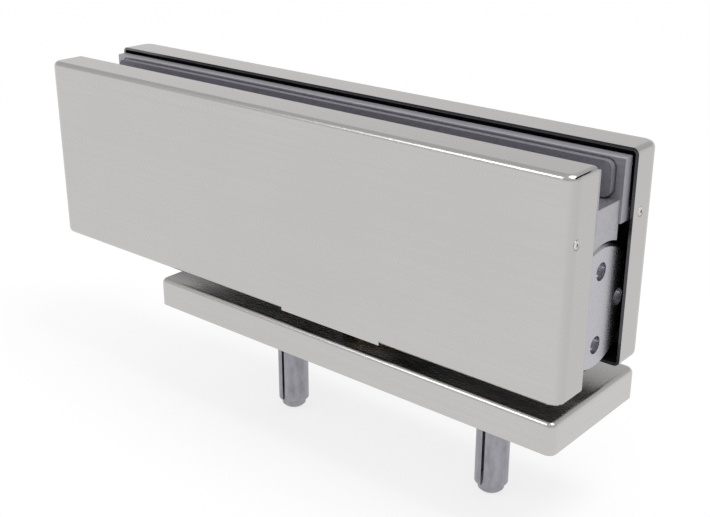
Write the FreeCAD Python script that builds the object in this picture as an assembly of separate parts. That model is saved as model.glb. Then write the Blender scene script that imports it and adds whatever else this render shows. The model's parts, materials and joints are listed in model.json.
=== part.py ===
import FreeCAD, Part
import math
import os
from FreeCAD import Vector

# Hydraulic floor hinge for a glass door. Millimetres.
# Z is the spindle axis, Z = 0 is the floor, X runs along the fitting and the front cover faces -Y.

# Covers
cover_length = 284.0
cover_height = 86.0
fitting_depth = 61.0
pivot_to_end = 101.5
floor_gap = 6.2
sheet = 1.2
return_depth = 16.5
front_corner = 5.0
rear_corner = 5.5
bend_radius = 2.5
seam = 0.5
seam_depth = 3.0
relief_left = 33.0
relief_right = 20.0
screw_height = 61.2
front_screw_inset = 4.7
rear_screw_inset = 10.8
cover_screw_radius = 1.2
cover_screw_head = 1.75
cover_screw_sink = 0.3
cover_screw_socket = 1.5
cover_screw_socket_depth = 0.5
cover_screw_length = 9.0

# Floor plate and its anchors
plate_length = 212.0
plate_width = 61.5
plate_height = 13.0
plate_left = 111.5
plate_skin = 1.5
plate_corner = 3.2
plate_edge = 2.5
anchor_spacing = 112.0
anchor_radius = 7.0
anchor_reach = 46.0
anchor_slit = 1.4
anchor_relief = 1.0
anchor_nub = 4.0
anchor_nub_step = 1.5
anchor_nub_chamfer = 1.0
anchor_taper = 7.0
anchor_entry = 0.8
anchor_lip = 0.5
anchor_bolt_radius = 4.0
anchor_head_radius = 8.0
anchor_socket = 5.0

# Glass clamp
glass_thickness = 12.0
pad_thickness = 2.7
pad_drop = 1.5
pad_lift = 0.5
pad_end_inset = 3.0
pad_corner = 3.0
pad_seat_gap = 0.7
pad_seat_depth = 0.8
bar_thickness = 5.0
bar_drop = 2.6
bar_height = 24.3
bar_edge = 0.5
slot_depth = 18.2
end_recess = 3.0
bar_end_recess = 2.2
clamp_bolt_radius = 3.0
clamp_head_radius = 5.0
clamp_head_height = 3.2
clamp_socket = 5.0
clamp_socket_depth = 2.0
clamp_bolt_first = 45.0
clamp_bolt_end_margin = 18.0
left_bolt_count = 3
right_bolt_count = 2
lug_wall = 1.4
ear_wall = 1.2

# Hydraulic body
barrel_radius = 25.0
barrel_axis_height = 28.1
bore_radius = 19.0
neck_fillet = 3.0
neck_clear = 1.5
cap_radius = 24.4
cap_flange = 4.0
cap_rim = 1.0
cap_recess = 0.6
cap_spigot_radius = 21.0
cap_spigot_length = 14.0
cap_seal_section = 2.0
cap_seal_play = 0.2
spanner_hole_radius = 3.5
spanner_hole_circle = 29.2
spanner_hole_depth = 2.5
spanner_holes = 4
lower_boss_wall = 5.0
upper_boss_wall = 1.5
valve_offset = 24.0
valve_radius = 3.5
valve_length = 13.0
valve_tip = 3.0
valve_slot = 1.0
valve_slot_depth = 2.0
port_radius = 1.5

# Spindle, its bearings and its foot
journal_radius = 12.0
top_journal_radius = 7.0
foot_length = 28.0
foot_width = 20.0
foot_height = 6.0
foot_corner = 3.0
foot_play = 1.0
foot_floor = 3.0
adjuster_radius = 3.0
adjuster_length = 12.0
adjuster_spacing = 18.0
adjuster_socket = 3.0
adjuster_socket_depth = 4.0
washer_thickness = 2.0
washer_width = 7.0
roller_radius = 1.95
roller_length = 4.4
roller_count = 12
cage_thickness = 1.8
cage_width = 6.2
seal_height = 3.9
seal_width = 5.0
lower_bush_wall = 3.0
upper_bush_wall = 2.5
upper_bush_length = 10.2
spindle_cap_radius = 11.5
spindle_cap_height = 4.6

# Rack piston, its gearing and its springs
gear_module = 1.5
pinion_teeth = 12
flank_points = 5
pressure_angle = math.radians(25.0)
addendum_share = 0.9
dedendum_share = 1.25
tooth_play = 0.16
rack_teeth = 10
swing_limit = math.radians(90.0)
slot_end_play = 1.8
slot_back_play = 1.2
piston_head = 13.5
piston_spigot_radius = 11.0
piston_spigot_length = 6.0
seal_ring_width = 3.0
seal_ring_depth = 1.8
check_valve_radius = 4.0
check_valve_length = 12.0
check_valve_orifice = 1.0
spring_wire_width = 4.2
spring_wire_height = 3.6
spring_mean_radius = 14.6
left_spring_turns = 7.0
right_spring_turns = 3.0

# Clearances
seat_gap = 0.1
running_gap = 0.05
loose_gap = 0.3
over = 1.0
hair = 1e-6

# Places worked out from the sizes above
cover_bottom = plate_height + floor_gap
cover_top = cover_bottom + cover_height
cover_right = pivot_to_end
cover_left = pivot_to_end - cover_length
cover_middle = (cover_left + cover_right) / 2
face_y = fitting_depth / 2
screw_z = cover_bottom + screw_height
plate_x0 = -plate_left
plate_x1 = plate_length - plate_left
plate_top = plate_height - plate_skin
body_x0 = cover_left + end_recess
body_x1 = cover_right - end_recess
barrel_x0 = body_x0 + cap_recess + cap_flange
barrel_x1 = body_x1 - cap_recess - cap_flange
barrel_z = cover_bottom + barrel_axis_height
slot_floor = cover_top - slot_depth
bar_x0 = cover_left + bar_end_recess
bar_x1 = cover_right - bar_end_recess
neck_half = glass_thickness / 2 + pad_thickness
bar_outer = neck_half + bar_thickness
bar_top = cover_top - bar_drop
bar_bottom = bar_top - bar_height
lug_radius = clamp_head_radius + seat_gap + lug_wall
neck_middle = (barrel_z + barrel_radius + slot_floor) / 2
washer_radius = journal_radius + washer_width
seal_radius = journal_radius + seal_width
lower_boss_radius = seal_radius + lower_boss_wall
upper_boss_radius = spindle_cap_radius + upper_boss_wall
lower_bush_radius = journal_radius + lower_bush_wall
upper_bush_radius = top_journal_radius + upper_bush_wall
washer_low = plate_top
roller_z = washer_low + washer_thickness + roller_radius + running_gap
washer_high = roller_z + roller_radius + running_gap
boss_bottom = washer_high + washer_thickness
seal_top = boss_bottom + seal_height
lower_bush_top = barrel_z - bore_radius - loose_gap
upper_bush_bottom = barrel_z + bore_radius + loose_gap
spindle_top = upper_bush_bottom + upper_bush_length
cap_seat = spindle_top + loose_gap
boss_top = cap_seat + spindle_cap_height
pitch_radius = gear_module * pinion_teeth / 2
tip_radius = pitch_radius + addendum_share * gear_module
root_radius = pitch_radius - dedendum_share * gear_module
base_radius = pitch_radius * math.cos(pressure_angle)
stroke = pitch_radius * swing_limit
slot_half = tip_radius + stroke + slot_end_play
piston_half = slot_half + piston_head
piston_radius = bore_radius - running_gap
spring_x0 = barrel_x0 + cap_spigot_length
spring_x1 = barrel_x1 - cap_spigot_length


def block(x0, x1, y0, y1, z0, z1):
    return Part.makeBox(x1 - x0, y1 - y0, z1 - z0, Vector(x0, y0, z0))


def rod_x(radius, x0, x1, y=0.0, z=barrel_z):
    return Part.makeCylinder(radius, x1 - x0, Vector(x0, y, z), Vector(1, 0, 0))


def rod_y(radius, y0, y1, x, z):
    return Part.makeCylinder(radius, y1 - y0, Vector(x, y0, z), Vector(0, 1, 0))


def rod_z(radius, z0, z1, x=0.0, y=0.0):
    return Part.makeCylinder(radius, z1 - z0, Vector(x, y, z0), Vector(0, 0, 1))


def sleeve_x(inner, outer, x0, x1):
    return rod_x(outer, x0, x1).cut(rod_x(inner, x0 - over, x1 + over))


def sleeve_z(inner, outer, z0, z1):
    return rod_z(outer, z0, z1).cut(rod_z(inner, z0 - over, z1 + over))


def hex_prism(across_flats, height, base, direction):
    radius = across_flats / math.sqrt(3)
    corners = [polar(radius, i * math.pi / 3) for i in range(7)]
    prism = Part.Face(Part.makePolygon(corners)).extrude(Vector(0, 0, height))
    prism.Placement = FreeCAD.Placement(base, FreeCAD.Rotation(Vector(0, 0, 1), direction))
    return prism


def turned(points):
    # A solid of revolution about Z from (radius, z) points.
    wire = Part.makePolygon([Vector(r, 0, z) for r, z in points + points[:1]])
    return Part.Face(wire).revolve(Vector(0, 0, 0), Vector(0, 0, 1), 360)


def line(start, end):
    return Part.LineSegment(start, end).toShape()


def arc(start, through, end):
    return Part.Arc(start, through, end).toShape()


def spline(points):
    curve = Part.BSplineCurve()
    curve.interpolate(points)
    return curve.toShape()


def polar(radius, angle):
    return Vector(radius * math.cos(angle), radius * math.sin(angle), 0)


def moved(shape, x=0.0, y=0.0, z=0.0):
    copy = shape.copy()
    copy.translate(Vector(x, y, z))
    return copy


def mirrored_x(shape):
    return shape.mirror(Vector(cover_middle, 0, 0), Vector(1, 0, 0))


def mirrored_y(shape):
    return shape.mirror(Vector(0, 0, 0), Vector(0, 1, 0))


def edges_where(shape, test):
    return [edge for edge in shape.Edges if test(edge)]


def runs_along(edge, direction):
    ends = [vertex.Point for vertex in edge.Vertexes]
    return len(ends) == 2 and (ends[0] - ends[1]).cross(direction).Length < hair


def is_vertical(edge):
    return runs_along(edge, Vector(0, 0, 1))


def is_lengthwise(edge):
    return runs_along(edge, Vector(1, 0, 0))


def lies_at_y(edge, y):
    return all(abs(vertex.Y - y) < hair for vertex in edge.Vertexes)


def lies_at_z(edge, z):
    return all(abs(vertex.Z - z) < hair for vertex in edge.Vertexes)


def fused(shapes):
    return shapes[0].multiFuse(shapes[1:]).removeSplitter()


def cut_all(shape, cuts):
    for tool in cuts:
        shape = shape.cut(tool)
    return shape


def export(node, solids):
    shape = solids if isinstance(solids, Part.Shape) else Part.makeCompound(solids)
    shape.exportStep("parts/" + node + ".step")


# Covers: folded trays of sheet, open towards the glass

def tray(corner, inset):
    x0 = cover_left + inset
    x1 = cover_right - inset
    y0 = inset - face_y
    y1 = return_depth - face_y + (over if inset else 0)
    z0 = cover_bottom + inset
    z1 = cover_top - inset
    form = block(x0, x1, y0, y1, z0, z1)
    corners = edges_where(form, lambda e: is_vertical(e) and lies_at_y(e, y0))
    form = form.makeFillet(corner - inset, corners)
    rims = edges_where(form, lambda e: (lies_at_z(e, z0) or lies_at_z(e, z1)) and not lies_at_y(e, y1))
    return form.makeFillet(bend_radius - inset, rims)


def cover(corner, screw_inset):
    skin = -face_y + sheet
    shell = tray(corner, 0).cut(tray(corner, sheet))
    shell = shell.cut(block(-relief_left, relief_right, skin, return_depth - face_y + over,
                            cover_bottom - over, cover_bottom + bend_radius))
    lip = block(-relief_left, relief_right, -face_y, skin, cover_bottom, cover_bottom + bend_radius)
    hole = countersunk(corner, screw_inset - face_y, seat_gap)
    return cut_all(shell.fuse(lip).removeSplitter(), [hole, mirrored_x(hole)])


def seam_slit(z, slope):
    # The open mitre between an end return and the top or bottom return.
    slit = block(-seam_depth, over, front_corner / 2 - face_y, return_depth - face_y + over,
                 -seam / 2, seam / 2)
    slit.rotate(Vector(0, 0, 0), Vector(0, 1, 0), slope)
    return moved(slit, x=cover_right, z=z)


def front_cover():
    slits = [seam_slit(cover_top, -45), seam_slit(cover_bottom, 45)]
    return cut_all(cover(front_corner, front_screw_inset), slits + [mirrored_x(slit) for slit in slits])


def end_wall_x(corner, y, inset):
    # Where a cover's end is at a distance y from the middle plane, round the corner.
    into_corner = max(0.0, y - (face_y - corner))
    radius = corner - inset
    return cover_right - corner + math.sqrt(max(0.0, radius**2 - into_corner**2))


def countersunk(corner, y, grow):
    # A screw in a cover's right end, its head sunk under the surface; grown, it is the screw's hole.
    surface = end_wall_x(corner, abs(y) - cover_screw_head, 0)
    shank_radius = cover_screw_radius + grow
    shank = rod_x(shank_radius, surface - cover_screw_length, surface, y, screw_z)
    rim = cover_screw_head + grow
    top = surface - cover_screw_sink
    if grow:
        rim += cover_screw_sink + over
        top += cover_screw_sink + over
    depth = rim - shank_radius
    head = Part.makeCone(shank_radius, rim, depth, Vector(top - depth, y, screw_z), Vector(1, 0, 0))
    return shank.common(block(0, top, -face_y, face_y, 0, cover_top)).fuse(head).removeSplitter()


def cover_screw(corner, y):
    screw = countersunk(corner, y, 0)
    socket = hex_prism(cover_screw_socket, cover_screw_socket_depth,
                       Vector(screw.BoundBox.XMax, y, screw_z), Vector(-1, 0, 0))
    return screw.cut(socket)


def cover_screws():
    screws = [cover_screw(front_corner, front_screw_inset - face_y),
              cover_screw(rear_corner, face_y - rear_screw_inset)]
    return screws + [mirrored_x(screw) for screw in screws]


# Glass clamp: two bars bolted through the neck, with a soft pad on each

def spread(first, last, count):
    return [first + (last - first) * i / (count - 1) for i in range(count)]


def clamp_bolt_places():
    left = spread(-clamp_bolt_first, body_x0 + clamp_bolt_end_margin, left_bolt_count)
    return left + spread(clamp_bolt_first, body_x1 - clamp_bolt_end_margin, right_bolt_count)


def clamp_lug(x):
    # A tongue below the bar with a round lower end, for one bolt.
    top = bar_top - bar_height / 2
    high_left = Vector(x - lug_radius, neck_half, top)
    left = Vector(x - lug_radius, neck_half, neck_middle)
    low = Vector(x, neck_half, neck_middle - lug_radius)
    right = Vector(x + lug_radius, neck_half, neck_middle)
    high_right = Vector(x + lug_radius, neck_half, top)
    edges = [line(high_left, left), arc(left, low, right), line(right, high_right),
             line(high_right, high_left)]
    return Part.Face(Part.Wire(edges)).extrude(Vector(0, bar_thickness, 0))


def pad_form(grow):
    # The +Y pad with its rounded corners; grown, it is the shallow seat in the bar.
    pad = block(body_x0 + pad_end_inset - grow, body_x1 - pad_end_inset + grow,
                glass_thickness / 2, neck_half + pad_seat_depth,
                slot_floor + pad_lift - grow, bar_top - pad_drop + grow)
    corners = edges_where(pad, lambda e: runs_along(e, Vector(0, 1, 0)))
    return pad.makeFillet(pad_corner + grow, corners)


def clamp_bar(corner, screw_inset):
    # Modelled on the +Y side.
    bar = block(bar_x0, bar_x1, neck_half, bar_outer, bar_bottom, bar_top)
    long_edges = edges_where(bar, lambda e: is_lengthwise(e) and lies_at_z(e, bar_top))
    bar = bar.makeFillet(bar_edge, long_edges)
    screw_y = face_y - screw_inset
    ear_half = cover_screw_radius + ear_wall
    ear_top = max(screw_z, bar_bottom) + ear_half
    ear_low = screw_z - ear_half
    ear_y0 = screw_y - ear_half
    ear_y1 = screw_y + ear_half
    ear_x = end_wall_x(corner, ear_y1, sheet) - seat_gap
    root = block(bar_x1 - cover_screw_length, min(bar_x1, ear_x), neck_half, ear_y1, ear_low, ear_top)
    ear = block(bar_x1 - over, ear_x, ear_y0, ear_y1, ear_low, ear_top)
    lugs = [clamp_lug(x) for x in clamp_bolt_places()]
    bar = fused([bar, root, ear, mirrored_x(root), mirrored_x(ear)] + lugs)
    thread = rod_x(cover_screw_radius + seat_gap, cover_right - 2 * cover_screw_length, cover_right + over,
                   screw_y, screw_z)
    clear_barrel = rod_x(barrel_radius + loose_gap, body_x0 - over, body_x1 + over)
    clear_boss = rod_z(upper_boss_radius + loose_gap, barrel_z, boss_top + loose_gap)
    return cut_all(bar, [thread, mirrored_x(thread), clear_barrel, clear_boss, pad_form(pad_seat_gap)])


def front_clamp_bar():
    cuts = []
    for x in clamp_bolt_places():
        cuts.append(rod_y(clamp_bolt_radius + loose_gap, neck_half - over, bar_outer + over,
                          x, neck_middle))
        cuts.append(rod_y(clamp_head_radius + seat_gap, bar_outer - clamp_head_height, bar_outer + over,
                          x, neck_middle))
    for x in (-valve_offset, valve_offset):
        cuts.append(rod_y(valve_radius + loose_gap, neck_half - over, bar_outer + over, x, neck_middle))
    return mirrored_y(cut_all(clamp_bar(front_corner, front_screw_inset), cuts))


def rear_clamp_bar():
    cuts = [rod_y(clamp_bolt_radius + seat_gap, neck_half - over, bar_outer + over, x, neck_middle)
            for x in clamp_bolt_places()]
    return cut_all(clamp_bar(rear_corner, rear_screw_inset), cuts)


def clamp_bolts():
    bolts = []
    for x in clamp_bolt_places():
        under_head = clamp_head_height - bar_outer
        head = rod_y(clamp_head_radius, -bar_outer, under_head, x, neck_middle)
        shank = rod_y(clamp_bolt_radius, under_head, bar_outer, x, neck_middle)
        socket = hex_prism(clamp_socket, clamp_socket_depth, Vector(x, -bar_outer, neck_middle),
                           Vector(0, 1, 0))
        bolts.append(head.fuse(shank).removeSplitter().cut(socket))
    return bolts


# Hydraulic body: a barrel with a neck that carries the glass clamp

def body_section():
    fillet_z = math.sqrt((barrel_radius + neck_fillet)**2 - (neck_half + neck_fillet)**2)
    share = barrel_radius / (barrel_radius + neck_fillet)
    touch = Vector(barrel_x0, (neck_half + neck_fillet) * share, barrel_z + fillet_z * share)
    side = Vector(barrel_x0, neck_half, barrel_z + fillet_z)
    centre = Vector(barrel_x0, neck_half + neck_fillet, barrel_z + fillet_z)
    halfway = (touch - centre) + (side - centre)
    bend = centre + halfway * (neck_fillet / halfway.Length)
    top = Vector(barrel_x0, neck_half, slot_floor)
    bottom = Vector(barrel_x0, 0, barrel_z - barrel_radius)

    def opposite(point):
        return Vector(point.x, -point.y, point.z)

    edges = [line(top, side), arc(side, bend, touch), arc(touch, bottom, opposite(touch)),
             arc(opposite(touch), opposite(bend), opposite(side)), line(opposite(side), opposite(top)),
             line(opposite(top), top)]
    return Part.Face(Part.Wire(edges))


def hydraulic_body():
    barrel = body_section().extrude(Vector(barrel_x1 - barrel_x0, 0, 0))
    neck_bottom = barrel_z + (bore_radius + barrel_radius) / 2
    neck = block(body_x0, body_x1, -neck_half, neck_half, neck_bottom, slot_floor)
    neck = neck.cut(rod_x(cap_radius + neck_clear, body_x0 - over, barrel_x0))
    neck = neck.cut(rod_x(cap_radius + neck_clear, barrel_x1, body_x1 + over))
    body = fused([barrel, neck, rod_z(lower_boss_radius, boss_bottom, barrel_z),
                  rod_z(upper_boss_radius, barrel_z, boss_top)])
    cuts = [rod_x(bore_radius, barrel_x0 - over, barrel_x1 + over)]
    for end in (barrel_x0 - over, barrel_x1 - cap_spigot_length):
        cuts.append(rod_x(cap_spigot_radius + seat_gap, end, end + cap_spigot_length + over))
    cuts.append(rod_z(seal_radius + seat_gap, boss_bottom - over, seal_top))
    cuts.append(rod_z(lower_bush_radius + seat_gap, boss_bottom, barrel_z))
    cuts.append(rod_z(upper_bush_radius + seat_gap, barrel_z, boss_top))
    cuts.append(rod_z(spindle_cap_radius + seat_gap, cap_seat, max(slot_floor, boss_top) + over))
    for x in clamp_bolt_places():
        cuts.append(rod_y(clamp_bolt_radius + loose_gap, -bar_outer, bar_outer, x, neck_middle))
    valve_end = valve_length - neck_half
    for x in (-valve_offset, valve_offset):
        cuts.append(rod_y(valve_radius + running_gap, -bar_outer, valve_end, x, neck_middle))
        cuts.append(rod_z(port_radius, barrel_z, neck_middle, x, valve_end - 2 * port_radius))
    return cut_all(body, cuts).removeSplitter()


def end_cap():
    # The right-hand cap; the left one is its mirror image.
    face = barrel_x1 + cap_flange
    inner = barrel_x1 - cap_spigot_length
    cap = rod_x(cap_radius, barrel_x1, face)
    rim = edges_where(cap, lambda e: e.Closed and abs(e.Vertexes[0].X - face) < hair)
    cap = cap.makeChamfer(cap_rim, rim)
    cap = cap.fuse(rod_x(cap_spigot_radius, inner, barrel_x1)).removeSplitter()
    groove_x = barrel_x1 - cap_spigot_length / 2
    groove_half = cap_seal_section / 2 + cap_seal_play
    cuts = [sleeve_x(cap_spigot_radius - cap_seal_section, cap_spigot_radius + over,
                     groove_x - groove_half, groove_x + groove_half)]
    for i in range(spanner_holes):
        angle = 2 * math.pi * i / spanner_holes
        y = spanner_hole_circle / 2 * math.cos(angle)
        z = barrel_z + spanner_hole_circle / 2 * math.sin(angle)
        cuts.append(rod_x(spanner_hole_radius, face - spanner_hole_depth, face + over, y, z))
    return cut_all(cap, cuts)


def cap_seals():
    x0 = barrel_x1 - cap_spigot_length / 2 - cap_seal_section / 2
    x1 = x0 + cap_seal_section
    ring = sleeve_x(cap_spigot_radius - cap_seal_section + seat_gap, cap_spigot_radius, x0, x1)
    return [ring, mirrored_x(ring)]


def speed_valve(x):
    # A needle that throttles the oil, with a screwdriver slot in its outer end.
    outer = -neck_half
    shoulder = outer + valve_length - running_gap - valve_tip
    needle = rod_y(valve_radius, outer, shoulder, x, neck_middle)
    tip = Part.makeCone(valve_radius, port_radius / 2, valve_tip - loose_gap,
                        Vector(x, shoulder, neck_middle), Vector(0, 1, 0))
    slot = block(x - valve_radius, x + valve_radius, outer - over, outer + valve_slot_depth,
                 neck_middle - valve_slot / 2, neck_middle + valve_slot / 2)
    return needle.fuse(tip).removeSplitter().cut(slot)


# Floor base

def plate_block(inset, z1):
    half = plate_width / 2 - inset
    form = block(plate_x0 + inset, plate_x1 - inset, -half, half, 0, z1)
    return form.makeFillet(plate_corner - inset, edges_where(form, is_vertical))


def round_top(shape, radius, z):
    return shape.makeFillet(radius, edges_where(shape, lambda e: lies_at_z(e, z)))


def floor_plate_cover():
    shell = round_top(plate_block(0, plate_height), plate_edge, plate_height)
    hollow = round_top(plate_block(plate_skin, plate_top), plate_edge - plate_skin, plate_top)
    opening = rod_z(washer_radius + over, plate_top - over, plate_height + over)
    return cut_all(shell, [hollow, opening])


def anchor_places():
    return (-anchor_spacing / 2, anchor_spacing / 2)


def adjuster_places():
    return [(x, side) for x in (-adjuster_spacing / 2, adjuster_spacing / 2) for side in (-1, 1)]


def foot(grow, z1):
    half_length = foot_length / 2 + grow
    half_width = foot_width / 2 + grow
    form = block(-half_length, half_length, -half_width, half_width, foot_floor, z1)
    return form.makeFillet(foot_corner, edges_where(form, is_vertical))


def floor_plate():
    head_top = plate_top - seat_gap
    head_bottom = head_top - (anchor_head_radius - anchor_bolt_radius)
    plate = round_top(plate_block(plate_skin + seat_gap, head_top), plate_edge - plate_skin, head_top)
    cuts = [foot(foot_play, plate_top + over)]
    cuts.append(rod_z(journal_radius + loose_gap, foot_floor, plate_top + over))
    shank = anchor_bolt_radius + loose_gap
    head = anchor_head_radius + loose_gap
    relief = anchor_radius + anchor_relief
    hole = turned([(0, -over), (relief, -over), (relief, anchor_relief), (shank, anchor_relief),
                   (shank, head_bottom), (head, head_top), (head, plate_top + over),
                   (0, plate_top + over)])
    cuts += [moved(hole, x) for x in anchor_places()]
    adjuster_z = foot_floor + foot_height / 2
    for x, side in adjuster_places():
        y = side * plate_width / 2
        cuts.append(rod_y(adjuster_radius + seat_gap, min(0, y), max(0, y), x, adjuster_z))
    return cut_all(plate, cuts)


def adjusting_screws():
    z = foot_floor + foot_height / 2
    screws = []
    for x, side in adjuster_places():
        near = side * foot_width / 2
        far = near + side * adjuster_length
        screw = rod_y(adjuster_radius, min(near, far), max(near, far), x, z)
        socket = hex_prism(adjuster_socket, adjuster_socket_depth, Vector(x, far, z), Vector(0, -side, 0))
        screws.append(screw.cut(socket))
    return screws


def anchor_bolts():
    head_top = plate_top - 2 * seat_gap
    sink = anchor_head_radius - anchor_bolt_radius
    low = anchor_nub / 2 - anchor_reach
    bolt = turned([(0, low), (anchor_bolt_radius, low), (anchor_bolt_radius, head_top - sink),
                   (anchor_head_radius, head_top), (0, head_top)])
    bolt = bolt.cut(hex_prism(anchor_socket, sink, Vector(0, 0, head_top - sink), Vector(0, 0, 1)))
    return [moved(bolt, x) for x in anchor_places()]


def anchor_sleeves():
    # Split tubes that the cones spread in the drilled floor; the slit faces the front.
    low = anchor_nub - anchor_reach
    bore = anchor_bolt_radius + seat_gap
    mouth = anchor_radius - anchor_lip
    sleeve = turned([(bore, anchor_relief), (mouth, anchor_relief), (anchor_radius, 0),
                     (anchor_radius, low), (mouth, low), (bore, low + anchor_taper)])
    slit = block(-anchor_slit / 2, anchor_slit / 2, -anchor_radius - over, 0,
                 low - over, anchor_relief + over)
    return [moved(sleeve.cut(slit), x) for x in anchor_places()]


def anchor_cones():
    low = anchor_nub - anchor_reach
    bore = anchor_bolt_radius + seat_gap
    mouth = anchor_radius - anchor_lip
    narrow = mouth - (mouth - bore) * anchor_entry
    tip = low + anchor_taper * anchor_entry
    nub = anchor_radius - anchor_nub_step
    cone = turned([(bore, tip), (bore, -anchor_reach), (nub - anchor_nub_chamfer, -anchor_reach),
                   (nub, anchor_nub_chamfer - anchor_reach), (nub, low - anchor_nub_chamfer),
                   (mouth - seat_gap, low), (narrow - seat_gap, tip)])
    return [moved(cone, x) for x in anchor_places()]


# Spindle and bearings

def roll(angle):
    return math.tan(angle) - angle


def flank_angle(radius):
    # Angle from a pinion tooth's middle to its flank at a radius.
    half = (math.pi * gear_module / 2 - tooth_play / 2) / (2 * pitch_radius)
    return half + roll(pressure_angle) - roll(math.acos(min(1.0, base_radius / radius)))


def pinion(z0, z1):
    # Involute teeth, with one tooth on the +Y axis.
    pitch = 2 * math.pi / pinion_teeth
    radii = spread(base_radius, tip_radius, flank_points)
    root_half = flank_angle(base_radius)
    edges = []
    for i in range(pinion_teeth):
        middle = math.pi / 2 + i * pitch
        rising = [polar(r, middle - flank_angle(r)) for r in radii]
        falling = [polar(r, middle + flank_angle(r)) for r in reversed(radii)]
        foot_in = polar(root_radius, middle - root_half)
        foot_out = polar(root_radius, middle + root_half)
        next_foot = polar(root_radius, middle + pitch - root_half)
        edges += [line(foot_in, rising[0]), spline(rising),
                  arc(rising[-1], polar(tip_radius, middle), falling[0]), spline(falling),
                  line(falling[-1], foot_out),
                  arc(foot_out, polar(root_radius, middle + pitch / 2), next_foot)]
    return moved(Part.Face(Part.Wire(edges)).extrude(Vector(0, 0, z1 - z0)), z=z0)


def spindle():
    foot_top = foot_floor + foot_height
    pinion_top = barrel_z + math.sqrt(bore_radius**2 - tip_radius**2) - loose_gap
    return fused([foot(0, foot_top), rod_z(journal_radius, foot_top, lower_bush_top),
                  pinion(lower_bush_top, pinion_top), rod_z(top_journal_radius, pinion_top, spindle_top)])


def cage_middle():
    return (journal_radius + washer_radius) / 2


def round_spindle(shape):
    # Copies of a shape on the +X side, one for each roller of the thrust bearing.
    copies = []
    for i in range(roller_count):
        copy = shape.copy()
        copy.rotate(Vector(0, 0, 0), Vector(0, 0, 1), 360.0 * i / roller_count)
        copies.append(copy)
    return copies


def roller_cage():
    middle = cage_middle()
    ring = sleeve_z(middle - cage_width / 2, middle + cage_width / 2, roller_z - cage_thickness / 2,
                    roller_z + cage_thickness / 2)
    reach = roller_length / 2 + seat_gap
    half = roller_radius + seat_gap
    window = block(middle - reach, middle + reach, -half, half, roller_z - cage_thickness,
                   roller_z + cage_thickness)
    return ring.cut(Part.makeCompound(round_spindle(window)))


def bearing_rollers():
    start = cage_middle() - roller_length / 2
    return round_spindle(rod_x(roller_radius, start, start + roller_length, 0, roller_z))


# Piston with a rack, springs and seals

def rack_slot():
    # The opening round the pinion; its +Y wall carries the rack, with a tooth space on the Y axis.
    pitch = math.pi * gear_module
    root_y = pitch_radius + dedendum_share * gear_module
    tip_y = pitch_radius - addendum_share * gear_module
    back_y = -tip_radius - slot_back_play
    half_pitch_line = (pitch / 2 - tooth_play / 2) / 2
    half_root = half_pitch_line + (root_y - pitch_radius) * math.tan(pressure_angle)
    half_tip = half_pitch_line + (tip_y - pitch_radius) * math.tan(pressure_angle)
    outline = [(-slot_half, root_y), (-slot_half, back_y), (slot_half, back_y), (slot_half, root_y)]
    for i in range(rack_teeth):
        x = ((rack_teeth - 1) / 2 - i) * pitch
        outline += [(x + half_root, root_y), (x + half_tip, tip_y), (x - half_tip, tip_y),
                    (x - half_root, root_y)]
    outline.append(outline[0])
    z0 = barrel_z - bore_radius
    face = Part.Face(Part.makePolygon([Vector(x, y, z0) for x, y in outline]))
    return face.extrude(Vector(0, 0, 2 * bore_radius))


def piston():
    spigot_end = piston_half + piston_spigot_length
    body = rod_x(piston_radius, -piston_half, piston_half)
    body = body.fuse(rod_x(piston_spigot_radius, -spigot_end, spigot_end)).removeSplitter()
    cuts = [rack_slot()]
    for side in (-1, 1):
        outer = side * spigot_end
        seat = side * (spigot_end - check_valve_length)
        cuts.append(rod_x(check_valve_radius + seat_gap, min(outer, seat), max(outer, seat)))
        cuts.append(rod_x(check_valve_orifice, min(0, seat), max(0, seat)))
        middle = side * (slot_half + piston_head / 2)
        groove_half = seal_ring_width / 2 + seat_gap
        cuts.append(sleeve_x(piston_radius - seal_ring_depth, piston_radius + over, middle - groove_half,
                             middle + groove_half))
    return cut_all(body, cuts)


def piston_seals():
    outer = bore_radius - running_gap / 2
    inner = piston_radius - seal_ring_depth + seat_gap
    rings = []
    for side in (-1, 1):
        x = side * (slot_half + piston_head / 2) - seal_ring_width / 2
        rings.append(sleeve_x(inner, outer, x, x + seal_ring_width))
    return rings


def check_valves():
    valves = []
    for side in (-1, 1):
        outer = side * (piston_half + piston_spigot_length)
        seat = outer - side * check_valve_length
        valves.append(sleeve_x(check_valve_orifice, check_valve_radius, min(outer, seat),
                               max(outer, seat)))
    return valves


def coil_spring(x0, x1, turns):
    # A helix of rectangular wire about the barrel's axis, with its ends ground flat.
    length = x1 - x0
    low = spring_mean_radius - spring_wire_width / 2
    high = spring_mean_radius + spring_wire_width / 2
    half = spring_wire_height / 2
    section = Part.makePolygon([Vector(low, 0, -half), Vector(high, 0, -half), Vector(high, 0, half),
                                Vector(low, 0, half), Vector(low, 0, -half)])
    helix = Part.Wire(Part.makeHelix(length / turns, length, spring_mean_radius))
    coil = helix.makePipeShell([section], True, True)
    lengthwise = FreeCAD.Rotation(Vector(0, 0, 1), Vector(1, 0, 0))
    coil.Placement = FreeCAD.Placement(Vector(x0, 0, barrel_z), lengthwise)
    ground = block(x0 + running_gap, x1 - running_gap, -high - over, high + over, barrel_z - high - over,
                   barrel_z + high + over)
    return coil.common(ground)


os.makedirs("parts", exist_ok=True)

export("front_cover", front_cover())
export("rear_cover", mirrored_y(cover(rear_corner, rear_screw_inset)))
export("cover_screws", cover_screws())
export("front_clamp_bar", front_clamp_bar())
export("rear_clamp_bar", rear_clamp_bar())
export("clamp_bolts", clamp_bolts())
export("front_glass_pad", mirrored_y(pad_form(0)))
export("rear_glass_pad", pad_form(0))

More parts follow.
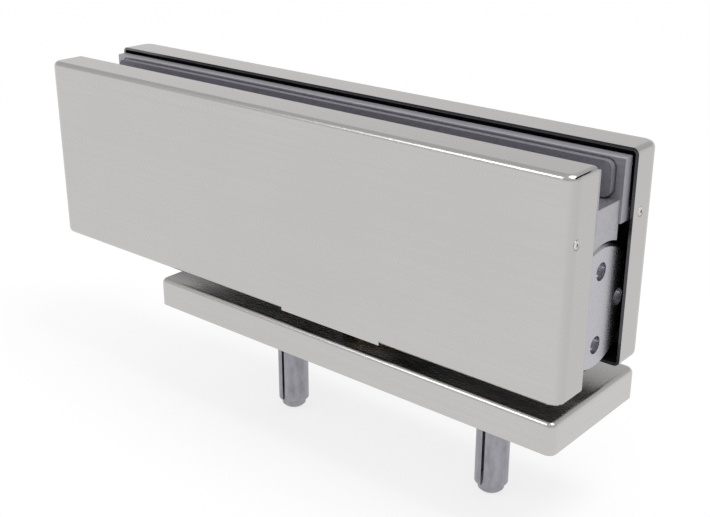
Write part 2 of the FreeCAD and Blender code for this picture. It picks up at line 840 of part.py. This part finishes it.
export("hydraulic_body", hydraulic_body())
export("right_end_cap", end_cap())
export("left_end_cap", mirrored_x(end_cap()))
export("cap_seals", cap_seals())
export("closing_valve", speed_valve(valve_offset))
export("latching_valve", speed_valve(-valve_offset))

export("floor_plate", floor_plate())
export("floor_plate_cover", floor_plate_cover())
export("adjusting_screws", adjusting_screws())
export("anchor_bolts", anchor_bolts())
export("anchor_sleeves", anchor_sleeves())
export("anchor_cones", anchor_cones())

export("spindle", spindle())
washer_low_top = washer_low + washer_thickness
washer_bore = journal_radius + seat_gap
export("lower_thrust_washer", sleeve_z(washer_bore, washer_radius, washer_low, washer_low_top))
washer_bore = journal_radius + loose_gap
export("upper_thrust_washer", sleeve_z(washer_bore, washer_radius, washer_high, boss_bottom))
export("roller_cage", roller_cage())
export("bearing_rollers", bearing_rollers())
journal_bore = journal_radius + running_gap
export("spindle_seal", sleeve_z(journal_bore, seal_radius, boss_bottom + seat_gap, seal_top - seat_gap))
export("lower_bush", sleeve_z(journal_bore, lower_bush_radius, seal_top, lower_bush_top))
top_journal_bore = top_journal_radius + running_gap
export("upper_bush", sleeve_z(top_journal_bore, upper_bush_radius, upper_bush_bottom, spindle_top))
export("spindle_cap", rod_z(spindle_cap_radius, cap_seat, boss_top))

export("rack_piston", piston())
export("piston_seals", piston_seals())
export("check_valves", check_valves())
export("left_spring", coil_spring(spring_x0, -piston_half, left_spring_turns))
export("right_spring", coil_spring(piston_half, spring_x1, right_spring_turns))
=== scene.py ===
import json
import math
import bpy
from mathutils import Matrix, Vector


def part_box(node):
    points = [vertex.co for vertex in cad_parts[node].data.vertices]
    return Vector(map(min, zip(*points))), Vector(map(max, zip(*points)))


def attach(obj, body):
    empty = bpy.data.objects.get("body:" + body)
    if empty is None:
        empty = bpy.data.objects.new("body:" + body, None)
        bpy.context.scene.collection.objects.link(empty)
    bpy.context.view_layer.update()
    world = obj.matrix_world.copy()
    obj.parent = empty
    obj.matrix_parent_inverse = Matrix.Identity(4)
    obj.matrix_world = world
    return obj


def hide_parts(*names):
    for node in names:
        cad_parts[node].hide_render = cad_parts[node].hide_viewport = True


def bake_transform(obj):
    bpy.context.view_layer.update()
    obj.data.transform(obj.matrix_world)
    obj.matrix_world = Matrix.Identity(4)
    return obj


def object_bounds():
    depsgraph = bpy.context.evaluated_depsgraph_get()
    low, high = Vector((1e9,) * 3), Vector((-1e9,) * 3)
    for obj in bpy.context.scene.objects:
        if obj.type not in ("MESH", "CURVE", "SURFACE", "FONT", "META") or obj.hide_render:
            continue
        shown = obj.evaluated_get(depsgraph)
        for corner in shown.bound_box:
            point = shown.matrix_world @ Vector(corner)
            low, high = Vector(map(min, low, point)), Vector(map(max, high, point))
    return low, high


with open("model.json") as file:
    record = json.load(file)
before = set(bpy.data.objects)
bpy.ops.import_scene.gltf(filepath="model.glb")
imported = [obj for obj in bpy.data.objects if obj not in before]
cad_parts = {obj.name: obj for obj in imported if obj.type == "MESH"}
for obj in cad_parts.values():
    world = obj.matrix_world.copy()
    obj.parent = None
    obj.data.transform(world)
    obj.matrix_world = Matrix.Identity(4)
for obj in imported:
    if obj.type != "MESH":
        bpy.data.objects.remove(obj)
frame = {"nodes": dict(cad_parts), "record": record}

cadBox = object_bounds()
nodes = frame["nodes"]
print("stage: frame loaded,", len(nodes), "nodes")


def hexColour(code):
    # sRGB hex to the linear colour that the shaders take
    levels = [int(code[i:i + 2], 16) / 255 for i in (1, 3, 5)]
    linear = [v / 12.92 if v <= 0.04045 else ((v + 0.055) / 1.055) ** 2.4 for v in levels]
    return (*linear, 1.0)


def addNode(tree, kind, settings=None, inputs=None):
    # settings are the node's own options, inputs are values or the sockets to link
    node = tree.nodes.new("ShaderNode" + kind)
    for name, value in (settings or {}).items():
        setattr(node, name, value)
    for name, value in (inputs or {}).items():
        if isinstance(value, bpy.types.NodeSocket):
            tree.links.new(value, node.inputs[name])
        else:
            node.inputs[name].default_value = value
    return node


def newMaterial(name):
    material = bpy.data.materials.new(name)
    material.use_nodes = True
    material.node_tree.nodes.clear()
    return material, material.node_tree


def closeMaterial(tree, shader):
    addNode(tree, "OutputMaterial", inputs={"Surface": shader.outputs[0]})


def perMetre(millimetres):
    # noise scale that gives features of about this size
    return 1000.0 / millimetres


def tintRamp(tree, factor, low, high, dark, light):
    ramp = addNode(tree, "ValToRGB", inputs={0: factor})
    ends = ramp.color_ramp.elements
    ends[0].position, ends[1].position = low, high
    ends[0].color, ends[1].color = hexColour(dark), hexColour(light)
    return ramp.outputs[0]


def blendColour(tree, factor, first, second):
    # shows first where the factor is 0 and second where it is 1
    mix = addNode(tree, "Mix", {"data_type": "RGBA"}, {"Factor": factor})
    tree.links.new(first, mix.inputs[6])
    mix.inputs[7].default_value = hexColour(second)
    return mix.outputs[2]


noiseSpan = {"low": 0.3, "high": 0.7}  # the part of its range that a noise mostly fills


def spreadRoughness(tree, grain, middle, spread):
    # the grain moves the roughness up and down by the spread
    rough = addNode(tree, "MapRange", inputs={
        0: grain, 1: noiseSpan["low"], 2: noiseSpan["high"], 3: middle - spread, 4: middle + spread})
    return rough.outputs[0]


# Covers and plate: lengths of the pattern in millimetres, other lengths in metres
satin = {
    # the end, inside and cut-edge colours are painted shade: ends a tone darker, the back nearly black, cut
    # edges dark grey
    "colour": "#C4C2C0", "streak": "#C1BFBD", "paintedEndShade": "#B9B7B5", "inside": "#161617", "cutEdgeShade": "#6C6C70",
    "grainLength": 140.0, "grainWidth": 1.0, "grainDetail": 1.0, "grainFade": 0.5,
    "cloud": 55.0, "cloudDetail": 2.0, "streakAt": 0.12, "colourAt": 0.42,
    "roughness": 0.27, "roughSpread": 0.01, "bump": 0.005, "bumpDepth": 0.0002, "insideRoughness": 0.55,
    "grainTurn": 0.7, "endFrom": 0.5, "endFull": 0.95,  # shares of the normal along X
    "edgeReach": 0.00005,
}
frontLow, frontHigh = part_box("front_cover")
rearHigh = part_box("rear_cover")[1]


def endShare(tree, normal):
    # how far a face looks along X: 0 on the long faces and 1 on the ends
    facing = addNode(tree, "SeparateXYZ", inputs={0: normal})
    share = addNode(tree, "Math", {"operation": "ABSOLUTE"}, {0: facing.outputs[0]})
    return share.outputs[0]


def brushedGrain(tree, place, onEnd):
    # the belt's lines run along X on the long faces and along Y round the ends
    squeeze = satin["grainWidth"] / satin["grainLength"]
    turned = addNode(tree, "Math", {"operation": "GREATER_THAN"}, {0: onEnd, 1: satin["grainTurn"]})
    acrossScale = addNode(tree, "MapRange", inputs={0: turned.outputs[0], 3: 1.0, 4: squeeze})
    scale = addNode(tree, "CombineXYZ", inputs={0: squeeze, 1: acrossScale.outputs[0], 2: 1.0})
    stretched = addNode(tree, "VectorMath", {"operation": "MULTIPLY"}, {0: place, 1: scale.outputs[0]})
    grain = addNode(tree, "TexNoise", inputs={
        "Vector": stretched.outputs[0], "Scale": perMetre(satin["grainWidth"]),
        "Detail": satin["grainDetail"], "Roughness": satin["grainFade"]})
    return grain.outputs[0]


def paintedEndShadeMask(tree, onEnd):
    # rises from 0 to 1 round the bend on to an end, where the sheet is painted a tone darker as shade
    mask = addNode(tree, "MapRange", inputs={0: onEnd, 1: satin["endFrom"], 2: satin["endFull"]})
    return mask.outputs[0]


def paintedShadeInsideMask(tree, place, normal):
    # 1 on faces that look towards the middle of the fitting: the sheet's back and its cut edges, where shade
    # is painted in
    middle = [(a + b) / 2 for a, b in zip(frontLow, rearHigh)]
    outward = addNode(tree, "VectorMath", {"operation": "SUBTRACT"}, {0: place, 1: middle})
    lean = addNode(tree, "VectorMath", {"operation": "DOT_PRODUCT"}, {0: outward.outputs[0], 1: normal})
    inside = addNode(tree, "Math", {"operation": "LESS_THAN"}, {0: lean.outputs["Value"], 1: 0.0})
    return inside.outputs[0]


def cutEdgeMask(tree, place):
    # 1 on the cut edges of the sheet, which stand nearest to the glass and get a painted shade of dark grey
    parts = addNode(tree, "SeparateXYZ", inputs={0: place})
    fromMiddle = addNode(tree, "Math", {"operation": "ABSOLUTE"}, {0: parts.outputs[1]})
    reach = -frontHigh[1] + satin["edgeReach"]
    edge = addNode(tree, "Math", {"operation": "LESS_THAN"}, {0: fromMiddle.outputs[0], 1: reach})
    return edge.outputs[0]


def makeSatinStainless(name, folded):
    # satin stainless sheet, belt-brushed: broad soft highlights over fine long lines.
    # Real lines are about 0.1 mm wide; they are drawn at 1 mm so that they show.
    # A folded cover gets painted shade: its back is painted nearly black, dull and not metal, standing in for
    # the shade inside it.
    material, tree = newMaterial(name)
    coordinates = addNode(tree, "TexCoord")
    place, normal = coordinates.outputs["Object"], coordinates.outputs["Normal"]
    onEnd = endShare(tree, normal)
    grain = brushedGrain(tree, place, onEnd)
    cloud = addNode(tree, "TexNoise", inputs={
        "Vector": place, "Scale": perMetre(satin["cloud"]), "Detail": satin["cloudDetail"]})
    tone = addNode(tree, "Math", {"operation": "MULTIPLY"}, {0: grain, 1: cloud.outputs[0]})
    colour = tintRamp(
        tree, tone.outputs[0], satin["streakAt"], satin["colourAt"], satin["streak"], satin["colour"])
    rough = spreadRoughness(tree, grain, satin["roughness"], satin["roughSpread"])
    bump = addNode(tree, "Bump", inputs={
        "Height": grain, "Strength": satin["bump"], "Distance": satin["bumpDepth"]})
    shader = addNode(tree, "BsdfPrincipled", inputs={"Metallic": 1.0, "Normal": bump.outputs[0]})
    if folded:
        # painted shade inside a folded cover: the back of the sheet nearly black, dull and not metal
        inside = paintedShadeInsideMask(tree, place, normal)
        edge = cutEdgeMask(tree, place)
        # painted shade: the end returns a tone darker than the front
        colour = blendColour(tree, paintedEndShadeMask(tree, onEnd), colour, satin["paintedEndShade"])
        colour = blendColour(tree, inside, colour, satin["inside"])
        # painted shade: the cut edges of the sheet dark grey
        colour = blendColour(tree, edge, colour, satin["cutEdgeShade"])
        paintedShadeBack = addNode(tree, "Math", {"operation": "SUBTRACT", "use_clamp": True}, {0: inside, 1: edge})
        metal = addNode(tree, "Math", {"operation": "SUBTRACT"}, {0: 1.0, 1: paintedShadeBack.outputs[0]})
        tree.links.new(metal.outputs[0], shader.inputs["Metallic"])
        mixed = addNode(tree, "Mix", inputs={0: paintedShadeBack.outputs[0], 2: rough, 3: satin["insideRoughness"]})
        rough = mixed.outputs[0]
    tree.links.new(colour, shader.inputs["Base Color"])
    tree.links.new(rough, shader.inputs["Roughness"])
    closeMaterial(tree, shader)
    return material


# Grain is a pattern's size in millimetres. Turning lines, pebbling and mottle are finer than that on the
# real pieces and are drawn this coarse so that they show.
finishes = {
    # screws: cold-headed stainless, tumbled bright, with faint handling marks
    "brightStainlessScrew": {
        "colour": "#DAD8D4", "dark": "#BAB8B4", "metallic": 1.0, "roughness": 0.16, "spread": 0.05,
        "grain": 1.2, "stretch": (1, 1, 1), "bump": 0.04},
    # bars: drawn aluminium, satin anodised, faintly lavender and rather diffuse
    "satinAnodisedAluminium": {
        "colour": "#BAB9C0", "dark": "#ABAAB2", "metallic": 1.0, "roughness": 0.6, "spread": 0.06,
        "grain": 0.8, "stretch": (0.03, 1, 1), "bump": 0.05},
    # caps: aluminium turned to a fine face, so the dark edges beside it show in it
    "turnedAluminium": {
        "colour": "#BBBAC0", "dark": "#ACABB2", "metallic": 1.0, "roughness": 0.27, "spread": 0.04,
        "grain": 0.8, "stretch": (0.1, 1, 1), "bump": 0.03},
    # body: pressure die-cast aluminium, finely pebbled and dull
    "dieCastAluminium": {
        "colour": "#BDBDC1", "dark": "#ABABB0", "metallic": 1.0, "roughness": 0.5, "spread": 0.06,
        "grain": 1.0, "stretch": (1, 1, 1), "bump": 0.12},
    # pads: compressed fibre gasket sheet, matt purple-grey with a faint mottle
    "fibreGasketSheet": {
        "colour": "#78767E", "dark": "#66646C", "metallic": 0.0, "roughness": 0.6, "spread": 0.08,
        "grain": 0.9, "stretch": (1, 1, 1), "bump": 0.15},
    # seals: moulded nitrile rubber, black with a soft bloom
    "mouldedNitrile": {
        "colour": "#1E1E1F", "dark": "#141415", "metallic": 0.0, "roughness": 0.55, "spread": 0.1,
        "grain": 0.7, "stretch": (1, 1, 1), "bump": 0.15},
    # anchors and base: zinc-plated steel, cool grey with cloudy passivation
    "zincPlatedSteel": {
        "colour": "#A9A8AE", "dark": "#8C8B92", "metallic": 1.0, "roughness": 0.4, "spread": 0.08,
        "grain": 3.5, "stretch": (1, 1, 0.4), "bump": 0.05},
    # spindle, piston, bearing: ground hardened steel, bright with fine turning lines
    "groundHardenedSteel": {
        "colour": "#B9B9BA", "dark": "#9C9C9E", "metallic": 1.0, "roughness": 0.22, "spread": 0.06,
        "grain": 0.7, "stretch": (1, 1, 0.05), "bump": 0.05},
    # springs: oil-tempered spring wire, blue-black
    "oilTemperedSpringWire": {
        "colour": "#4A4A50", "dark": "#333338", "metallic": 1.0, "roughness": 0.35, "spread": 0.1,
        "grain": 1.5, "stretch": (0.2, 1, 1), "bump": 0.08},
    # bushes, needles and cage: turned brass, warm and lightly oiled
    "turnedBrass": {
        "colour": "#9A8352", "dark": "#7A6539", "metallic": 1.0, "roughness": 0.27, "spread": 0.08,
        "grain": 0.7, "stretch": (1, 1, 0.05), "bump": 0.05},
}
finishNoise = {"detail": 4.0, "fade": 0.6, "darkAt": 0.3, "lightAt": 0.65, "bumpDepth": 0.0002}


def makeFinish(name):
    values = finishes[name]
    material, tree = newMaterial(name)
    place = addNode(tree, "TexCoord").outputs["Object"]
    stretch = addNode(tree, "Mapping", inputs={"Vector": place, "Scale": values["stretch"]})
    noise = addNode(tree, "TexNoise", inputs={
        "Vector": stretch.outputs[0], "Scale": perMetre(values["grain"]),
        "Detail": finishNoise["detail"], "Roughness": finishNoise["fade"]})
    grain = noise.outputs[0]
    colour = tintRamp(
        tree, grain, finishNoise["darkAt"], finishNoise["lightAt"], values["dark"], values["colour"])
    bump = addNode(tree, "Bump", inputs={
        "Height": grain, "Strength": values["bump"], "Distance": finishNoise["bumpDepth"]})
    shader = addNode(tree, "BsdfPrincipled", inputs={
        "Base Color": colour, "Metallic": values["metallic"], "Normal": bump.outputs[0],
        "Roughness": spreadRoughness(tree, grain, values["roughness"], values["spread"])})
    closeMaterial(tree, shader)
    return material


finishOfSlot = {
    "stainless_screw": "brightStainlessScrew", "satin_aluminium": "satinAnodisedAluminium",
    "cast_aluminium": "dieCastAluminium", "glass_pad": "fibreGasketSheet",
    "nitrile_rubber": "mouldedNitrile", "zinc_steel": "zincPlatedSteel",
    "ground_steel": "groundHardenedSteel", "spring_steel": "oilTemperedSpringWire",
    "brass": "turnedBrass",
}
materialOfSlot = {slot: makeFinish(name) for slot, name in finishOfSlot.items()}
materialOfSlot["satin_stainless"] = makeSatinStainless("satinStainlessCover", True)
capFinish = makeFinish("turnedAluminium")
materialOfNode = {
    "floor_plate_cover": makeSatinStainless("satinStainlessPlate", False),
    "right_end_cap": capFinish, "left_end_cap": capFinish,
}
for subpart in frame["record"]["subparts"]:
    name = subpart["node"]
    mesh = nodes[name].data
    mesh.materials.clear()
    mesh.materials.append(materialOfNode.get(name, materialOfSlot[subpart["material_slot"]]))


# Cover screws: countersunk, with a raised oval head that catches the light
coverScrew = {
    "headRadius": 0.00175, "shankRadius": 0.0012, "tipRadius": 0.0009,
    "length": 0.0085, "tipLength": 0.0006, "crown": 0.00045, "crownSteps": 5, "sides": 40,
    "socketRadius": 0.00075, "socketDepth": 0.0007, "smoothAngle": 30.0,
}


def extrudeRing(rise, widen):
    # carries the selected ring on along Z and then scales it about the axis
    bpy.ops.mesh.extrude_region_move(TRANSFORM_OT_translate={"value": (0, 0, rise)})
    bpy.ops.transform.resize(value=(widen, widen, 1), center_override=(0, 0, 0))


def makeOneScrew():
    # along +Z with the head's rim at the origin
    values = coverScrew
    head, shank, tip = values["headRadius"], values["shankRadius"], values["tipRadius"]
    taper = head - shank
    bpy.ops.object.select_all(action="DESELECT")
    bpy.ops.mesh.primitive_circle_add(
        vertices=values["sides"], radius=tip, fill_type="NGON", location=(0, 0, -values["length"]))
    screw = bpy.context.object
    bpy.ops.object.transform_apply()
    bpy.ops.object.mode_set(mode="EDIT")
    bpy.ops.mesh.select_all(action="SELECT")
    extrudeRing(values["tipLength"], shank / tip)
    extrudeRing(values["length"] - values["tipLength"] - taper, 1.0)
    extrudeRing(taper, head / shank)
    radius, height = head, 0.0
    for step in range(1, values["crownSteps"] + 1):
        angle = step / (values["crownSteps"] + 1) * math.pi / 2
        nextRadius, nextHeight = head * math.cos(angle), values["crown"] * math.sin(angle)
        extrudeRing(nextHeight - height, nextRadius / radius)
        radius, height = nextRadius, nextHeight
    bpy.ops.mesh.select_all(action="SELECT")
    bpy.ops.mesh.normals_make_consistent(inside=False)
    bpy.ops.object.mode_set(mode="OBJECT")
    return screw


def cutSocket(screw):
    # six-sided key socket in the crown
    values = coverScrew
    bpy.ops.object.select_all(action="DESELECT")
    bpy.ops.mesh.primitive_cylinder_add(
        vertices=6, radius=values["socketRadius"], depth=2 * values["socketDepth"],
        location=(0, 0, values["crown"]))
    key = bpy.context.object
    bpy.ops.object.transform_apply()
    bpy.ops.object.select_all(action="DESELECT")
    bpy.context.view_layer.objects.active = screw
    screw.select_set(True)
    socket = screw.modifiers.new("socket", "BOOLEAN")
    socket.operation, socket.object = "DIFFERENCE", key
    bpy.ops.object.modifier_apply(modifier="socket")
    bpy.data.objects.remove(key)


def makeCoverScrews():
    low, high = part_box("cover_screws")
    head = coverScrew["headRadius"]
    height = (low.z + high.z) / 2
    master = makeOneScrew()
    cutSocket(master)
    screws = []
    for x, turn in ((high.x, 90), (low.x, -90)):  # heads look outwards at both ends
        for y in (low.y + head, high.y - head):
            screw = master.copy()
            screw.data = master.data.copy()
            bpy.context.collection.objects.link(screw)
            screw.location = (x, y, height)
            screw.rotation_euler = (0, math.radians(turn), 0)
            screws.append(screw)
    bpy.data.objects.remove(master)
    bpy.ops.object.select_all(action="DESELECT")
    for screw in screws:
        screw.select_set(True)
    bpy.context.view_layer.objects.active = screws[0]
    bpy.ops.object.transform_apply()
    bpy.ops.object.join()
    piece = bpy.context.object
    piece.name = "ovalCoverScrews"
    bpy.context.scene.cursor.location = (0, 0, 0)
    bpy.ops.object.origin_set(type="ORIGIN_CURSOR")
    bpy.ops.object.shade_smooth_by_angle(angle=math.radians(coverScrew["smoothAngle"]))
    piece.data.materials.clear()
    piece.data.materials.append(materialOfSlot["stainless_screw"])
    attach(piece, "door_clamp")
    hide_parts("cover_screws")


makeCoverScrews()
print("stage: cover screws made")


# Springs: the coil solids copied, merged and smoothed in place of the CAD springs
springs = {
    "leftSpringCoil": {"node": "left_spring", "fixedEnd": "low"},
    "rightSpringCoil": {"node": "right_spring", "fixedEnd": "high"},
}
springEnds = {"rigidLength": 0.004, "mergeGap": 0.00001, "smoothAngle": 40.0}


def makeSpring(name, node, fixedEnd):
    # the solid's own mesh, copied and merged; the reach of its end turns is worked out but not used
    coil = bpy.data.objects.new(name, nodes[node].data.copy())
    bpy.context.collection.objects.link(coil)
    bpy.ops.object.select_all(action="DESELECT")
    coil.select_set(True)
    bpy.context.view_layer.objects.active = coil
    bpy.ops.object.mode_set(mode="EDIT")
    bpy.ops.mesh.select_all(action="SELECT")
    bpy.ops.mesh.remove_doubles(threshold=springEnds["mergeGap"])
    bpy.ops.object.mode_set(mode="OBJECT")
    bpy.ops.object.shade_smooth_by_angle(angle=math.radians(springEnds["smoothAngle"]))
    low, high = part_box(node)
    first, last = low.x + springEnds["rigidLength"], high.x - springEnds["rigidLength"]
    if fixedEnd == "high":
        first, last = last, first
    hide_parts(node)
    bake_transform(coil)


for springName, springValues in springs.items():
    makeSpring(springName, springValues["node"], springValues["fixedEnd"])
print("stage: springs made")


# Studio: white paper that runs up to the horizon under a dimmer ceiling
studio = {
    "floorDrop": 0.0005, "floorHalf": 3.0, "paper": "#F4F4F4",
    "glowNear": 0.75, "glowFar": 0.97, "nearReach": 0.1, "farReach": 0.8,  # white of the paper itself
    "horizon": 8.0, "ceilingFrom": 22.0, "ceiling": 0.6, "fill": 0.85,  # degrees, then strengths
}


def seenRay(tree):
    # 1 for rays that show the background: to the camera, in metal and through glass
    path = addNode(tree, "LightPath")
    seen = path.outputs["Is Camera Ray"]
    for name in ("Is Glossy Ray", "Is Transmission Ray"):
        either = addNode(tree, "Math", {"operation": "MAXIMUM"}, {0: seen, 1: path.outputs[name]})
        seen = either.outputs[0]
    return seen


def makeFloor():
    bpy.ops.object.select_all(action="DESELECT")
    low = cadBox[0][2] - studio["floorDrop"]
    bpy.ops.mesh.primitive_plane_add(size=2 * studio["floorHalf"], location=(0, 0, low))
    floor = bpy.context.object
    floor.name = "studioFloor"
    material, tree = newMaterial("paperFloor")
    paper = addNode(tree, "BsdfDiffuse", inputs={"Color": hexColour(studio["paper"])})
    glow = addNode(tree, "Emission", inputs={"Strength": 1.0})
    place = addNode(tree, "TexCoord").outputs["Object"]
    away = addNode(tree, "VectorMath", {"operation": "LENGTH"}, {0: place})
    glowLevel = addNode(tree, "MapRange", inputs={
        0: away.outputs["Value"], 1: studio["nearReach"], 2: studio["farReach"],
        3: studio["glowNear"], 4: studio["glowFar"]})
    share = addNode(tree, "Math", {"operation": "MULTIPLY"}, {0: seenRay(tree), 1: glowLevel.outputs[0]})
    mixed = addNode(tree, "MixShader", inputs={
        0: share.outputs[0], 1: paper.outputs[0], 2: glow.outputs[0]})
    closeMaterial(tree, mixed)
    floor.data.materials.append(material)


def makeWorld():
    world = bpy.data.worlds.new("studioWorld")
    world.use_nodes = True
    tree = world.node_tree
    tree.nodes.clear()
    heading = addNode(tree, "SeparateXYZ", inputs={0: addNode(tree, "TexCoord").outputs["Generated"]})
    sky = addNode(tree, "MapRange", {"interpolation_type": "SMOOTHSTEP"}, {
        0: heading.outputs[2], 1: math.sin(math.radians(studio["horizon"])),
        2: math.sin(math.radians(studio["ceilingFrom"])), 3: 1.0, 4: studio["ceiling"]})
    level = addNode(tree, "MapRange", inputs={0: seenRay(tree), 3: studio["fill"], 4: sky.outputs[0]})
    light = addNode(tree, "Background", inputs={"Color": (1, 1, 1, 1), "Strength": level.outputs[0]})
    addNode(tree, "OutputWorld", inputs={"Surface": light.outputs[0]})
    bpy.context.scene.world = world


lamps = {
    "keyBox": {"place": (-0.55, -0.75, 0.95), "aim": (-0.04, 0, 0.06), "size": 0.35, "power": 1.8},
    "topBox": {"place": (0.45, 0.05, 1.15), "aim": (-0.04, 0, 0.06), "size": 0.5, "power": 6.0},
}


def makeLamps():
    for name, values in lamps.items():
        data = bpy.data.lights.new(name, "AREA")
        data.size = values["size"]
        data.energy = values["power"]
        lamp = bpy.data.objects.new(name, data)
        bpy.context.collection.objects.link(lamp)
        lamp.location = values["place"]
        heading = [a - p for a, p in zip(values["aim"], values["place"])]
        flat = math.hypot(heading[0], heading[1])
        tilt = math.atan2(flat, -heading[2])
        lamp.rotation_euler = (tilt, 0, math.atan2(heading[1], heading[0]) - math.pi / 2)


# Camera at the photo's place: azimuth and elevation of the line of sight, in degrees
photoView = {
    "eye": (0.27563, -0.34520, 0.21664), "azimuth": 40.396, "elevation": 21.592,
    "lens": 57.70, "sensor": 36.0, "clipStart": 0.01,
}


def makeCamera():
    data = bpy.data.cameras.new("photoCamera")
    data.lens = photoView["lens"]
    data.sensor_width = photoView["sensor"]
    data.clip_start = photoView["clipStart"]
    camera = bpy.data.objects.new("photoCamera", data)
    bpy.context.collection.objects.link(camera)
    camera.location = photoView["eye"]
    tilt = math.radians(90 - photoView["elevation"])
    camera.rotation_euler = (tilt, 0, math.radians(photoView["azimuth"]))
    bpy.context.scene.camera = camera


makeFloor()
makeWorld()
makeLamps()
makeCamera()
bpy.context.scene.view_settings.view_transform = "Standard"
print("stage: studio and camera set")
